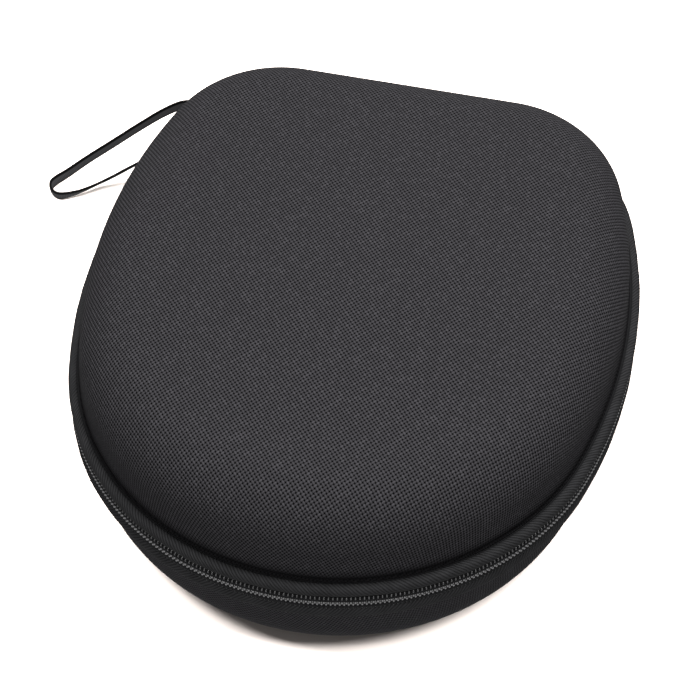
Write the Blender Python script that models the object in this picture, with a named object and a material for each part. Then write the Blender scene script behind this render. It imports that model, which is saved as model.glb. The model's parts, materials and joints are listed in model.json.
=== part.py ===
"""Hard clamshell carrying case for over-ear headphones.

Two moulded shells of nylon, EVA foam and lining meet at a coil zip that runs round the rim between
two piped welts, and turn on a fabric hinge along the straight back. Metres, +Z up, front towards -Y,
base on Z = 0. Every swept piece is drawn as a section of (outward, height) points: outward from the
shell wall, and height measured from the parting plane, upwards on the lid and downwards on the base.
"""

import math

import bmesh
import bpy
from mathutils import Vector

# Plan outline of the wall at the rim, symmetric about X = 0.
CASE_LENGTH = 0.2082
FRONT_RADIUS = 0.0900
SIDE_RADIUS = 0.1877
CORNER_RADIUS = 0.0471
HINGE_HALF_WIDTH = 0.0393

# Side view of one half.
HALF_HEIGHT = 0.0420
EDGE_RADIUS = 0.0215
WALL_DRAFT = math.radians(3.9)
LID_CROWN = 0.0025

# Layers of the shell, from outside to inside.
FABRIC_THICKNESS = 0.0008
CORE_THICKNESS = 0.0035
LINING_THICKNESS = 0.0007
CLEARANCE = 0.0003
SHELL_DEPTH = FABRIC_THICKNESS + CORE_THICKNESS + LINING_THICKNESS + 2 * CLEARANCE

# Coil zip. The post of the slider runs between the two tapes.
TAPE_THICKNESS = 0.0006
POST_THICKNESS = 0.0006
TAPE_SPLIT = POST_THICKNESS / 2 + CLEARANCE
COIL_HALF_WIDTH = 0.0032
STOP_LENGTH = 0.0026

# Piped welt over the stitching line of each half, standing out a little past the coil.
WELT_COIL_GAP = 0.0002
WELT_FOOT = COIL_HALF_WIDTH + WELT_COIL_GAP
WELT_HEIGHT = 0.0042
WELT_REACH = 0.0039
WELT_ROUNDING = 0.45
WELT_SHOULDER_IN = 0.28
WELT_SHOULDER_UP = 0.15
COIL_BACKSET = 0.0002
COIL_REACH = WELT_REACH - COIL_BACKSET

# Zip slider: two curved plates joined by a thin post between the coils, with a bridge for the pull.
PLATE_LENGTH = 0.0100
PLATE_OVERHANG = 0.0011
PLATE_HALF_WIDTH = COIL_HALF_WIDTH + PLATE_OVERHANG
PLATE_THICKNESS = 0.0010
PLATE_RUNNING_GAP = 0.0004
POST_LENGTH = 0.0026
BRIDGE_LENGTH = 0.0068
BRIDGE_WIDTH = 0.0022
BRIDGE_THICKNESS = 0.0009
SLIDER_SPACING = 0.0010

# The shells stop short of the parting plane, so that the slider's inner plate clears them.
SHELL_EDGE_ROOM = 0.0007
SHELL_EDGE = PLATE_HALF_WIDTH + SHELL_EDGE_ROOM

# Pull: a stamped tab on the bridge and a moulded grip over its end.
TAB_LENGTH = 0.0130
TAB_THICKNESS = 0.0010
TAB_BAR = 0.0010
TAB_RAIL = 0.0014
EYE_PLAY = 0.0005
EYE_REACH = 0.0018
BAR_PLAY = 0.0004
TAB_EYE_LENGTH = BRIDGE_LENGTH / 2 + EYE_REACH
TAB_EYE_WIDTH = BRIDGE_WIDTH + 2 * EYE_PLAY
TAB_WIDTH = TAB_EYE_WIDTH + 2 * TAB_RAIL
BRIDGE_HEIGHT = BRIDGE_THICKNESS + TAB_THICKNESS + 2 * BAR_PLAY
TAB_LEAN = math.radians(3.5)
GRIP_LENGTH = 0.0170
GRIP_WIDTH = 0.0078
GRIP_THICKNESS = 0.0024
GRIP_OVERLAP = 0.0050
GRIP_CHAMFER = GRIP_THICKNESS / 5
GRIP_ENDS = ((0.0, 0.90), (0.0008, 1.0), (GRIP_LENGTH - 0.0025, 1.0), (GRIP_LENGTH, 0.70))

# Binding inside the rim, hinge strips at the back, net pocket in the lid.
BINDING_WIDTH = 0.0080
BINDING_THICKNESS = 0.0006
HINGE_STRIP_THICKNESS = 0.0008
HINGE_KNEE_HEIGHT = 0.45 * WELT_FOOT
HINGE_KNEE_OUTER = 0.3 * HINGE_STRIP_THICKNESS
HINGE_KNEE_INNER = 1.6 * HINGE_STRIP_THICKNESS
POCKET_GAP = 0.0010
POCKET_HEIGHT = SHELL_EDGE + BINDING_WIDTH + POCKET_GAP
POCKET_THICKNESS = 0.0008
POCKET_EDGE = -0.0100
ELASTIC_HEIGHT = 0.0060
ELASTIC_THICKNESS = 0.0012
FACET_ROOM = 0.0004

# Wrist strap: a loop of woven ribbon sewn under the base welt on the left back corner.
STRAP_TAB_ANGLE = math.radians(135)
STRAP_TAB_WIDTH = 0.0090
STRAP_TAB_HEIGHT = 0.0050
STRAP_TAB_THICKNESS = 0.0022
STRAP_RADIUS = 0.0013
STRAP_SPACING = 4 * STRAP_RADIUS
STRAP_ROUTE = (
    (-0.0757, 0.0914, 0.0312),
    (-0.0805, 0.0932, 0.0295),
    (-0.0880, 0.0948, 0.0255),
    (-0.0960, 0.0948, 0.0205),
    (-0.1030, 0.0940, 0.0155),
    (-0.1095, 0.0925, 0.0110),
    (-0.1160, 0.0904, 0.0066),
    (-0.1220, 0.0874, 0.0038),
    (-0.1288, 0.0822, 0.0028),
    (-0.1350, 0.0789, 0.0028),
    (-0.1386, 0.0802, 0.0028),
    (-0.1401, 0.0832, 0.0029),
    (-0.1390, 0.0860, 0.0032),
    (-0.1346, 0.0902, 0.0047),
    (-0.1281, 0.0954, 0.0082),
    (-0.1190, 0.1006, 0.0138),
    (-0.1089, 0.1058, 0.0205),
    (-0.0990, 0.1096, 0.0272),
    (-0.0910, 0.1110, 0.0315),
    (-0.0835, 0.1086, 0.0336),
    (-0.0772, 0.1026, 0.0334),
    (-0.0738, 0.0966, 0.0323),
    (-0.0728, 0.0942, 0.0318),
)

FRONT_STEP = math.radians(7.0)
SIDE_STEP = math.radians(5.8)
CORNER_STEP = math.radians(9.0)
SHELL_ARC_STEPS = 5
LINING_ARC_STEPS = 4
CROWN_RINGS = (0.6,)
CROWN_START = 0.06
ROUTE_STEPS = 20
LID, BASE = 1, -1


def arc_centres():
    """Centres of the front, right corner and right side arcs, each tangent inside to the next."""
    front = Vector((0.0, FRONT_RADIUS - CASE_LENGTH / 2))
    corner = Vector((HINGE_HALF_WIDTH, CASE_LENGTH / 2 - CORNER_RADIUS))
    to_front = SIDE_RADIUS - FRONT_RADIUS
    to_corner = SIDE_RADIUS - CORNER_RADIUS
    between = corner - front
    along = (to_front**2 - to_corner**2 + between.length_squared) / (2 * between.length)
    across = math.sqrt(to_front**2 - along**2)
    direction = between.normalized()
    centre = front + direction * along - Vector((direction.y, -direction.x)) * across
    return front, corner, centre


FRONT_CENTRE, CORNER_CENTRE, SIDE_CENTRE = arc_centres()
CORNER_END = math.atan2(*reversed(CORNER_CENTRE - SIDE_CENTRE))
SIDE_END = math.atan2(*reversed(FRONT_CENTRE - SIDE_CENTRE))
BACK_WALL = CASE_LENGTH / 2
HINGE_AXIS = BACK_WALL + WELT_REACH + CLEARANCE


def mirrored(centre):
    return Vector((-centre.x, centre.y))


def arc(centre, radius, start, end, step):
    """Stations (point, outward normal) along an arc, both ends included."""
    count = max(1, round(abs(end - start) / step))
    stations = []
    for index in range(count + 1):
        angle = start + (end - start) * index / count
        normal = Vector((math.cos(angle), math.sin(angle)))
        stations.append((centre + normal * radius, normal))
    return stations


def zip_path():
    """Stations of the open run from the right end of the hinge, round the front, to its left end."""
    right = arc(CORNER_CENTRE, CORNER_RADIUS, math.pi / 2, CORNER_END, CORNER_STEP)
    right += arc(SIDE_CENTRE, SIDE_RADIUS, CORNER_END, SIDE_END, SIDE_STEP)[1:]
    front = arc(FRONT_CENTRE, FRONT_RADIUS, SIDE_END, -math.pi - SIDE_END, FRONT_STEP)[1:-1]
    left = [(mirrored(point), mirrored(normal)) for point, normal in reversed(right)]
    return right + front + left


def rim_path():
    """Stations of the closed run round the whole rim."""
    return zip_path() + [(Vector((0.0, BACK_WALL)), Vector((0.0, 1.0)))]


def hinge_path():
    """Stations of the straight back, between the two ends of the zip."""
    normal = Vector((0.0, 1.0))
    inside = HINGE_HALF_WIDTH - CLEARANCE
    return [(Vector((x, BACK_WALL)), normal) for x in (-inside, 0.0, inside)]


def trimmed(path, length):
    """The open path without a length at each of its ends, which lie on the corner arcs."""
    angle = length / CORNER_RADIUS
    kept = [station for station in path if abs(station[1].x) > math.sin(angle) + 1e-6 or station[1].y < 0]
    first = arc(CORNER_CENTRE, CORNER_RADIUS, math.pi / 2 - angle, 0, 10)[0]
    last = (mirrored(first[0]), mirrored(first[1]))
    return [first] + kept + [last]


def material(name, colour, roughness, metallic=0.0):
    made = bpy.data.materials.new(name)
    made.use_nodes = True
    shader = made.node_tree.nodes["Principled BSDF"]
    shader.inputs["Base Color"].default_value = (*colour, 1.0)
    shader.inputs["Roughness"].default_value = roughness
    shader.inputs["Metallic"].default_value = metallic
    return made


def add(name, bm, finish, parent, smooth_angle=35):
    """Link a finished bmesh as an object whose faces point outwards."""
    bmesh.ops.recalc_face_normals(bm, faces=bm.faces)
    mesh = bpy.data.meshes.new(name)
    bm.to_mesh(mesh)
    bm.free()
    mesh.materials.append(finish)
    mesh.shade_smooth()
    mesh.set_sharp_from_angle(angle=math.radians(smooth_angle))
    obj = bpy.data.objects.new(name, mesh)
    bpy.context.scene.collection.objects.link(obj)
    if parent:
        obj.parent = parent
        obj.matrix_parent_inverse = parent.matrix_world.inverted()
    return obj


def bridge(bm, rings, closed):
    """Quads between neighbouring rings, with end caps on an open run."""
    pairs = list(zip(rings, rings[1:]))
    if closed:
        pairs.append((rings[-1], rings[0]))
    for near, far in pairs:
        for index in range(len(near)):
            following = (index + 1) % len(near)
            bm.faces.new((near[index], near[following], far[following], far[index]))
    if not closed:
        bm.faces.new(rings[0])
        bm.faces.new(reversed(rings[-1]))


def swept(name, path, section, side, finish, parent, closed=False):
    """Sweep a section of (outward, height) points along the path, on the lid or the base."""
    bm = bmesh.new()
    rings = []
    for point, normal in path:
        ring = []
        for outward, height in section:
            place = point + normal * outward
            ring.append(bm.verts.new((place.x, place.y, HALF_HEIGHT + side * height)))
        rings.append(ring)
    bridge(bm, rings, closed)
    return add(name, bm, finish, parent)


def shell_profile(depth, crown, steps):
    """(inset, height) points of the shell surface that lies a depth under its outer face."""
    arc_end = math.pi / 2 - (CROWN_START if crown else 0.0)
    top = HALF_HEIGHT - crown
    arc_height = top - EDGE_RADIUS
    arc_inset = (arc_height - SHELL_EDGE) * math.tan(WALL_DRAFT) + EDGE_RADIUS / math.cos(WALL_DRAFT)
    radius = EDGE_RADIUS - depth
    points = [(depth / math.cos(WALL_DRAFT), SHELL_EDGE)]
    for index in range(steps + 1):
        angle = WALL_DRAFT + (arc_end - WALL_DRAFT) * index / steps
        points.append((arc_inset - radius * math.cos(angle), arc_height + radius * math.sin(angle)))
    return points


def shell_surface(bm, path, depth, side, crown, steps):
    """Rings of one face of a shell, from its edge to the middle of its top or floor."""
    profile = shell_profile(depth, crown, steps)
    rings = []
    for inset, height in profile:
        ring = []
        for point, normal in path:
            place = point - normal * inset
            ring.append(bm.verts.new((place.x, place.y, HALF_HEIGHT + side * height)))
        rings.append(ring)
    edge = [vert.co.copy() for vert in rings[-1]]
    edge_height = profile[-1][1]
    rise = HALF_HEIGHT - depth - edge_height
    for share in CROWN_RINGS if crown else ():
        height = HALF_HEIGHT + side * (edge_height + rise * (1 - share**2))
        rings.append([bm.verts.new((place.x * share, place.y * share, height)) for place in edge])
    centre = bm.verts.new((0.0, 0.0, HALF_HEIGHT + side * (edge_height + rise)))
    for index, vert in enumerate(rings[-1]):
        bm.faces.new((vert, rings[-1][(index + 1) % len(path)], centre))
    return rings


def shell(name, outer_depth, thickness, side, crown, finish, parent, steps=SHELL_ARC_STEPS):
    """One layer of a half: a bowl between two depths, open at the parting plane."""
    bm = bmesh.new()
    path = rim_path()
    outer = shell_surface(bm, path, outer_depth, side, crown, steps)
    inner = shell_surface(bm, path, outer_depth + thickness, side, crown, steps)
    for rings in (outer, inner, (outer[0], inner[0])):
        for near, far in zip(rings, rings[1:]):
            for index in range(len(path)):
                following = (index + 1) % len(path)
                bm.faces.new((near[index], near[following], far[following], far[index]))
    return add(name, bm, finish, parent)


def rounded(low, high, foot, top):
    """Section of a piping: flat against the wall at `low`, rounded where it stands out to `high`."""
    bulge = (high - low) * WELT_ROUNDING
    shoulder, rise = high - bulge * WELT_SHOULDER_IN, (top - foot) * WELT_SHOULDER_UP
    return (
        (low, foot),
        (high - bulge, foot),
        (shoulder, foot + rise),
        (high, (foot + top) / 2),
        (shoulder, top - rise),
        (high - bulge, top),
        (low, top),
    )


def rectangle(low, high, foot, top):
    return ((low, foot), (high, foot), (high, top), (low, top))


class ArcFrame:
    """Places (along, outward, height) points on an arc of the rim, centred on the parting plane."""

    def __init__(self, centre, radius, angle, direction):
        self.centre = centre
        self.radius = radius
        self.angle = angle
        self.direction = direction

    def at(self, along, outward, height):
        angle = self.angle + self.direction * along / self.radius
        reach = self.radius + outward
        return Vector((
            self.centre.x + reach * math.cos(angle),
            self.centre.y + reach * math.sin(angle),
            HALF_HEIGHT + height,
        ))

    def heading(self):
        """Direction of increasing `along`, tilted towards the case by the lean of a resting tab."""
        angle = self.angle + self.direction * (math.pi / 2 + TAB_LEAN)
        return Vector((math.cos(angle), math.sin(angle), 0.0))


def curved_block(frame, along, outward, height, steps=1):
    """A block between two limits in each of the arc frame's directions, following the arc."""
    bm = bmesh.new()
    rings = []
    for index in range(steps + 1):
        place = along[0] + (along[1] - along[0]) * index / steps
        corners = rectangle(outward[0], outward[1], height[0], height[1])
        rings.append([bm.verts.new(frame.at(place, out, up)) for out, up in corners])
    bridge(bm, rings, False)
    return bm


def arc_prism(frame, outline, width):
    """An (along, outward) outline given a width across the parting plane."""
    bm = bmesh.new()
    rings = [[bm.verts.new(frame.at(along, out, height)) for along, out in outline]
             for height in (-width / 2, width / 2)]
    bridge(bm, rings, False)
    return bm


def helper(name, bm, parent, finish):
    """A shape that another object's Boolean uses."""
    obj = add(name, bm, finish, parent)
    obj.hide_render = True
    obj.display_type = "WIRE"
    return obj


def boolean(target, other, operation):
    modifier = target.modifiers.new(other.name, "BOOLEAN")
    modifier.operation = operation
    modifier.object = other


def slider(name, frame, finish, parent):
    """Outer plate with its bridge, inner plate, and the post between them at the nose."""
    half = PLATE_LENGTH / 2
    wide = (-PLATE_HALF_WIDTH, PLATE_HALF_WIDTH)
    outer_face = WELT_REACH + PLATE_RUNNING_GAP
    outer = (outer_face, outer_face + PLATE_THICKNESS)
    inner = (-PLATE_RUNNING_GAP - PLATE_THICKNESS, -PLATE_RUNNING_GAP)
    sink = PLATE_THICKNESS / 2
    body = add(name, curved_block(frame, (-half, half), outer, wide, 4), finish, parent)
    under = curved_block(frame, (-half, half), inner, wide, 4)
    post_width = (-POST_THICKNESS / 2, POST_THICKNESS / 2)
    post_reach = (inner[1] - sink, outer[0] + sink)
    post = curved_block(frame, (-half + sink, -half + sink + POST_LENGTH), post_reach, post_width)
    reach, foot = BRIDGE_LENGTH / 2, outer[1] - sink
    crown = outer[1] + BRIDGE_HEIGHT
    arch = (
        (-reach, foot), (-reach, crown), (reach, crown), (reach, foot),
        (reach - BRIDGE_THICKNESS, foot), (reach - BRIDGE_THICKNESS, crown - BRIDGE_THICKNESS),
        (BRIDGE_THICKNESS - reach, crown - BRIDGE_THICKNESS), (BRIDGE_THICKNESS - reach, foot),
    )
    shapes = {"post": post, "under": under, "arch": arc_prism(frame, arch, BRIDGE_WIDTH)}
    for label, bm in shapes.items():
        boolean(body, helper(f"{name}_{label}", bm, parent, finish), "UNION")
    return body


def straight_loft(origin, heading, sections):
    """A loft along a horizontal heading through (place, points), whose `outward` leaves the case."""
    across = Vector((0.0, 0.0, 1.0)).cross(heading)
    if across.dot(Vector((origin.x, origin.y, 0.0))) < 0:
        across = -across
    bm = bmesh.new()
    rings = []
    for place, points in sections:
        ring = []
        for out, up in points:
            point = heading * place + across * out + Vector((0.0, 0.0, up))
            ring.append(bm.verts.new(point))
        rings.append(ring)
    bridge(bm, rings, False)
    return bm


def straight_block(origin, heading, along, outward, height):
    """A block between two limits in each direction of the loft's frame."""
    corners = rectangle(outward[0], outward[1], height[0], height[1])
    return straight_loft(origin, heading, [(place, corners) for place in along])


def grip_shape(origin, heading, start):
    """A bar with chamfered edges, drawn in at both ends."""
    cut = GRIP_CHAMFER
    sections = []
    for place, size in GRIP_ENDS:
        reach, span = size * GRIP_THICKNESS / 2, size * GRIP_WIDTH / 2
        sections.append((start + place, (
            (-reach + cut, -span), (reach - cut, -span), (reach, -span + cut), (reach, span - cut),
            (reach - cut, span), (-reach + cut, span), (-reach, span - cut), (-reach, -span + cut),
        )))
    return straight_loft(origin, heading, sections)


def pull(name, frame, tab_finish, grip_finish, parent):
    """The tab, whose end bar lies under the slider's bridge, and the grip over its far end."""
    under_bridge = WELT_REACH + PLATE_RUNNING_GAP + PLATE_THICKNESS
    bar_centre = under_bridge + (BRIDGE_HEIGHT - BRIDGE_THICKNESS) / 2
    pivot = frame.at(0.0, bar_centre, 0.0)
    hinge = bpy.data.objects.new(f"{name}_axis", None)
    bpy.context.scene.collection.objects.link(hinge)
    hinge.location = pivot
    hinge.parent = parent
    hinge.matrix_parent_inverse = parent.matrix_world.inverted()
    bpy.context.view_layer.update()
    heading = frame.heading()
    thick = (-TAB_THICKNESS / 2, TAB_THICKNESS / 2)
    tab_wide = (-TAB_WIDTH / 2, TAB_WIDTH / 2)
    grip_start = TAB_LENGTH - TAB_BAR / 2 - GRIP_OVERLAP

    def block(along, outward, height):
        return straight_block(pivot, heading, along, outward, height)

    def placed(label, bm, finish):
        bmesh.ops.translate(bm, verts=bm.verts, vec=pivot)
        obj = add(label, bm, finish, None)
        obj.data.transform(hinge.matrix_world.inverted())
        obj.parent = hinge
        return obj

    tab_end = TAB_LENGTH - TAB_BAR / 2
    tab = placed(f"{name}_tab", block((-TAB_BAR / 2, tab_end), thick, tab_wide), tab_finish)
    eye = block((TAB_BAR / 2, TAB_BAR / 2 + TAB_EYE_LENGTH), (-TAB_WIDTH, TAB_WIDTH),
                (-TAB_EYE_WIDTH / 2, TAB_EYE_WIDTH / 2))
    grip = placed(f"{name}_grip", grip_shape(pivot, heading, grip_start), grip_finish)
    pocket = block((grip_start - CLEARANCE, tab_end + CLEARANCE),
                   (thick[0] - CLEARANCE, thick[1] + CLEARANCE),
                   (tab_wide[0] - CLEARANCE, tab_wide[1] + CLEARANCE))
    for target, label, bm in ((tab, "eye", eye), (grip, "pocket", pocket)):
        cutter = placed(f"{name}_{label}", bm, target.data.materials[0])
        cutter.hide_render = True
        cutter.display_type = "WIRE"
        boolean(target, cutter, "DIFFERENCE")


def smooth_route(points, spacing):
    """Points every `spacing` along a Catmull-Rom curve through the route."""
    padded = [points[0] * 2 - points[1], *points, points[-1] * 2 - points[-2]]
    fine = []
    for a, b, c, d in zip(padded, padded[1:], padded[2:], padded[3:]):
        for index in range(ROUTE_STEPS):
            t = index / ROUTE_STEPS
            fine.append(0.5 * (2 * b + (c - a) * t + (2 * a - 5 * b + 4 * c - d) * t**2
                               + (3 * b - a - 3 * c + d) * t**3))
    fine.append(points[-1])
    kept, travelled = [fine[0]], 0.0
    for before, after in zip(fine, fine[1:]):
        travelled += (after - before).length
        if travelled >= spacing * len(kept):
            kept.append(after)
    return kept


def strap(name, finish):
    points = smooth_route([Vector(point) for point in STRAP_ROUTE], STRAP_SPACING)
    curve = bpy.data.curves.new(name, "CURVE")
    curve.dimensions = "3D"
    curve.bevel_depth = STRAP_RADIUS
    curve.bevel_resolution = 2
    curve.use_fill_caps = True
    spline = curve.splines.new("POLY")
    spline.points.add(len(points) - 1)
    for target, point in zip(spline.points, points):
        target.co = (*point, 1.0)
    curve.materials.append(finish)
    obj = bpy.data.objects.new(name, curve)
    bpy.context.scene.collection.objects.link(obj)


def hinge_section():
    """Half of a rolled strip, from under the welt out to the hinge line at the parting plane."""
    thickness = HINGE_STRIP_THICKNESS
    line = WELT_REACH
    foot = CLEARANCE / 2
    knee = HINGE_KNEE_HEIGHT
    wall = WELT_FOOT - CLEARANCE
    sewn_face = CLEARANCE + TAPE_THICKNESS
    sewn_top = WELT_FOOT + WELT_HEIGHT
    return (
        (line - thickness, foot),
        (line, foot),
        (line - HINGE_KNEE_OUTER, knee),
        (sewn_face, wall),
        (sewn_face, sewn_top),
        (CLEARANCE, sewn_top),
        (CLEARANCE, wall - thickness),
        (line - HINGE_KNEE_INNER, knee),
    )


def inset_at(depth, height, crown):
    """How far a shell surface at a depth stands in from the rim's wall line, at a height."""
    arc_height = HALF_HEIGHT - crown - EDGE_RADIUS
    if height <= arc_height:
        return depth / math.cos(WALL_DRAFT) + (height - SHELL_EDGE) * math.tan(WALL_DRAFT)
    arc_inset = (arc_height - SHELL_EDGE) * math.tan(WALL_DRAFT) + EDGE_RADIUS / math.cos(WALL_DRAFT)
    return arc_inset - math.sqrt((EDGE_RADIUS - depth)**2 - (height - arc_height)**2)


def inner_half_width(y, inset):
    """Half the width at a distance along the case, on a side arc moved in by an inset."""
    return SIDE_CENTRE.x + math.sqrt((SIDE_RADIUS - inset)**2 - (y - SIDE_CENTRE.y)**2)


def net_panel(name, finish, parent):
    """A flat panel across the hinge half of the lid, inside its lining."""
    top = POCKET_HEIGHT + POCKET_THICKNESS
    inset = inset_at(SHELL_DEPTH + CLEARANCE, top, LID_CROWN)
    edge = POCKET_EDGE + ELASTIC_THICKNESS + CLEARANCE
    width = inner_half_width(edge, inset)
    inside = [point - normal * inset for point, normal in rim_path()]
    behind = sorted((place for place in inside if place.y > edge),
                    key=lambda place: math.atan2(place.x, place.y - edge))
    outline = [Vector((-width, edge)), *behind, Vector((width, edge))]
    bm = bmesh.new()
    rings = [[bm.verts.new((place.x, place.y, HALF_HEIGHT + height)) for place in outline]
             for height in (POCKET_HEIGHT, top)]
    bridge(bm, rings, False)
    add(name, bm, finish, parent)


def elastic(name, finish, parent):
    """The band along the pocket's mouth, from wall to wall of the lid."""
    inset = inset_at(SHELL_DEPTH + CLEARANCE, POCKET_HEIGHT + ELASTIC_HEIGHT, LID_CROWN) + FACET_ROOM
    width = inner_half_width(POCKET_EDGE, inset)
    bm = bmesh.new()
    low = HALF_HEIGHT + POCKET_HEIGHT
    section = rectangle(0.0, ELASTIC_THICKNESS, 0.0, ELASTIC_HEIGHT)
    rings = []
    for x in (-width, width):
        rings.append([bm.verts.new((x, POCKET_EDGE + out, low + up)) for out, up in section])
    bridge(bm, rings, False)
    add(name, bm, finish, parent)


def half(label, side, crown, finishes, parent):
    """Every fixed piece that the lid and the base both have."""
    core_depth = FABRIC_THICKNESS + CLEARANCE
    lining_depth = core_depth + CORE_THICKNESS + CLEARANCE
    shell(f"{label}_outer_fabric", 0.0, FABRIC_THICKNESS, side, crown, finishes["nylon"], parent)
    shell(f"{label}_eva_core", core_depth, CORE_THICKNESS, side, crown, finishes["foam"], parent)
    shell(f"{label}_lining", lining_depth, LINING_THICKNESS, side, crown, finishes["lining"], parent,
          LINING_ARC_STEPS)

    tape_back = CLEARANCE
    tape_face = tape_back + TAPE_THICKNESS
    trim = tape_face + CLEARANCE
    welt_top = WELT_FOOT + WELT_HEIGHT
    welt = rounded(trim, WELT_REACH, WELT_FOOT, welt_top)
    swept(f"{label}_rim_welt", rim_path(), welt, side, finishes["welt"], parent, closed=True)

    run = trimmed(zip_path(), CLEARANCE)
    tape = rectangle(tape_back, tape_face, TAPE_SPLIT, welt_top)
    swept(f"{label}_zip_tape", run, tape, side, finishes["tape"], parent)
    coil_run = trimmed(zip_path(), STOP_LENGTH + 2 * CLEARANCE)
    coil = rectangle(trim, COIL_REACH, TAPE_SPLIT, COIL_HALF_WIDTH)
    swept(f"{label}_zip_coil", coil_run, coil, side, finishes["coil"], parent)
    turn = STOP_LENGTH / CORNER_RADIUS
    start = math.pi / 2 - CLEARANCE / CORNER_RADIUS
    right = arc(CORNER_CENTRE, CORNER_RADIUS, start, start - turn, turn / 2)
    left = [(mirrored(point), mirrored(normal)) for point, normal in right]
    for hand, stations in (("right", right), ("left", left)):
        swept(f"{label}_zip_stop_{hand}", stations, coil, side, finishes["stop"], parent)

    binding_face = -SHELL_DEPTH - CLEARANCE - (BINDING_WIDTH * math.tan(WALL_DRAFT))
    binding = rectangle(binding_face - BINDING_THICKNESS, binding_face, SHELL_EDGE, SHELL_EDGE + BINDING_WIDTH)
    swept(f"{label}_rim_binding", rim_path(), binding, side, finishes["binding"], parent, closed=True)

    swept(f"{label}_hinge_strip", hinge_path(), hinge_section(), side, finishes["strip"], parent)


def main():
    for old in list(bpy.data.objects):
        bpy.data.objects.remove(old, do_unlink=True)

    finishes = {
        "nylon": material("woven_nylon", (0.040, 0.039, 0.042), 0.72),
        "foam": material("eva_foam", (0.030, 0.030, 0.031), 0.85),
        "lining": material("tricot_lining", (0.030, 0.030, 0.032), 0.90),
        "welt": material("twill_welt", (0.032, 0.031, 0.033), 0.75),
        "tape": material("zip_tape", (0.020, 0.020, 0.021), 0.80),
        "coil": material("nylon_coil", (0.018, 0.018, 0.019), 0.35),
        "stop": material("stop_metal", (0.030, 0.030, 0.032), 0.35, 1.0),
        "binding": material("binding_tape", (0.025, 0.025, 0.027), 0.80),
        "strip": material("hinge_fabric", (0.030, 0.030, 0.032), 0.80),
        "net": material("pocket_net", (0.025, 0.025, 0.026), 0.70),
        "elastic": material("pocket_elastic", (0.025, 0.025, 0.026), 0.75),
        "slider": material("slider_metal", (0.030, 0.030, 0.032), 0.32, 1.0),
        "grip": material("grip_rubber", (0.022, 0.022, 0.023), 0.55),
        "ribbon": material("strap_ribbon", (0.055, 0.054, 0.057), 0.75),
    }

    base = bpy.data.objects.new("base", None)
    lid = bpy.data.objects.new("lid", None)
    for empty in (base, lid):
        bpy.context.scene.collection.objects.link(empty)
    lid.location = (0.0, HINGE_AXIS, HALF_HEIGHT)
    bpy.context.view_layer.update()

    half("base", BASE, 0.0, finishes, base)
    half("lid", LID, LID_CROWN, finishes, lid)
    net_panel("lid_pocket_net", finishes["net"], lid)
    elastic("lid_pocket_elastic", finishes["elastic"], lid)

    spread = (PLATE_LENGTH + SLIDER_SPACING) / 2
    left_side, left_corner = mirrored(SIDE_CENTRE), mirrored(CORNER_CENTRE)
    meeting = math.pi - CORNER_END
    front_frame = ArcFrame(left_side, SIDE_RADIUS, meeting + spread / SIDE_RADIUS, 1)
    back_frame = ArcFrame(left_corner, CORNER_RADIUS, meeting - spread / CORNER_RADIUS, -1)
    for label, frame in (("front", front_frame), ("back", back_frame)):
        axis = bpy.data.objects.new(f"{label}_slider_axis", None)
        bpy.context.scene.collection.objects.link(axis)
        axis.location = (frame.centre.x, frame.centre.y, HALF_HEIGHT)
        bpy.context.view_layer.update()
        slider(f"{label}_slider_body", frame, finishes["slider"], axis)
        pull(f"{label}_pull", frame, finishes["slider"], finishes["grip"], axis)

    anchor = ArcFrame(left_corner, CORNER_RADIUS, STRAP_TAB_ANGLE, 1)
    tab_top = -(WELT_FOOT + WELT_HEIGHT + 2 * CLEARANCE)
    tab = curved_block(anchor, (-STRAP_TAB_WIDTH / 2, STRAP_TAB_WIDTH / 2),
                       (CLEARANCE, CLEARANCE + STRAP_TAB_THICKNESS),
                       (tab_top - STRAP_TAB_HEIGHT, tab_top), 2)
    add("strap_tab", tab, finishes["ribbon"], base)
    strap("wrist_strap", finishes["ribbon"])


main()
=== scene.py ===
"""Looks of a hard clamshell case for over-ear headphones, on the joints of its solid model.

Metres, +Z up, front towards -Y. Pieces that follow the rim are drawn from stations, points on the
wall's outline with their outward normals, and from sections of (outward, height) points: outward
from the wall, and height measured from the parting plane, upwards on the lid, downwards on the base.
"""

import json
import math
from functools import partialmethod

import bmesh
import bpy
import numpy as np
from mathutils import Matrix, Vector


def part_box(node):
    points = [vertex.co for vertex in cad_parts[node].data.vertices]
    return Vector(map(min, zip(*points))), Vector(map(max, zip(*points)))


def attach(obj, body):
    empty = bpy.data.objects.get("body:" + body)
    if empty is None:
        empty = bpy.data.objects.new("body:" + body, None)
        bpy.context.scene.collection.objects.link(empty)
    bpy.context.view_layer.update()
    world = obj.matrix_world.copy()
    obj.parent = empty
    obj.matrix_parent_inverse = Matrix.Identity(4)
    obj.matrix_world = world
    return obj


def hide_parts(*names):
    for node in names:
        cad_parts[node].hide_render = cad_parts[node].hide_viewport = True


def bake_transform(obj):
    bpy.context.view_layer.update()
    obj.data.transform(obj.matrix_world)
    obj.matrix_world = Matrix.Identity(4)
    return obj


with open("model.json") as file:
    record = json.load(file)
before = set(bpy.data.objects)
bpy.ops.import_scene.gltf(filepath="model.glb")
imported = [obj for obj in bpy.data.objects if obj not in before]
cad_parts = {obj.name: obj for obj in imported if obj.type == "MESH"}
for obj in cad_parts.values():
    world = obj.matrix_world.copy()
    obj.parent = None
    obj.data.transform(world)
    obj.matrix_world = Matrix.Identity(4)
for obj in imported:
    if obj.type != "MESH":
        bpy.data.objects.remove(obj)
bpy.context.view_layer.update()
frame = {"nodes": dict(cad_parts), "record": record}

MM = 0.001
LID, BASE = 1, -1
SIDES = (("lid", LID), ("base", BASE))
JOINTS = {joint["name"]: joint for joint in frame["record"]["behaviour"]["joints"]}
HINGE = Vector(JOINTS["lid_hinge"]["pos_m"])
RIM = HINGE.z

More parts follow.
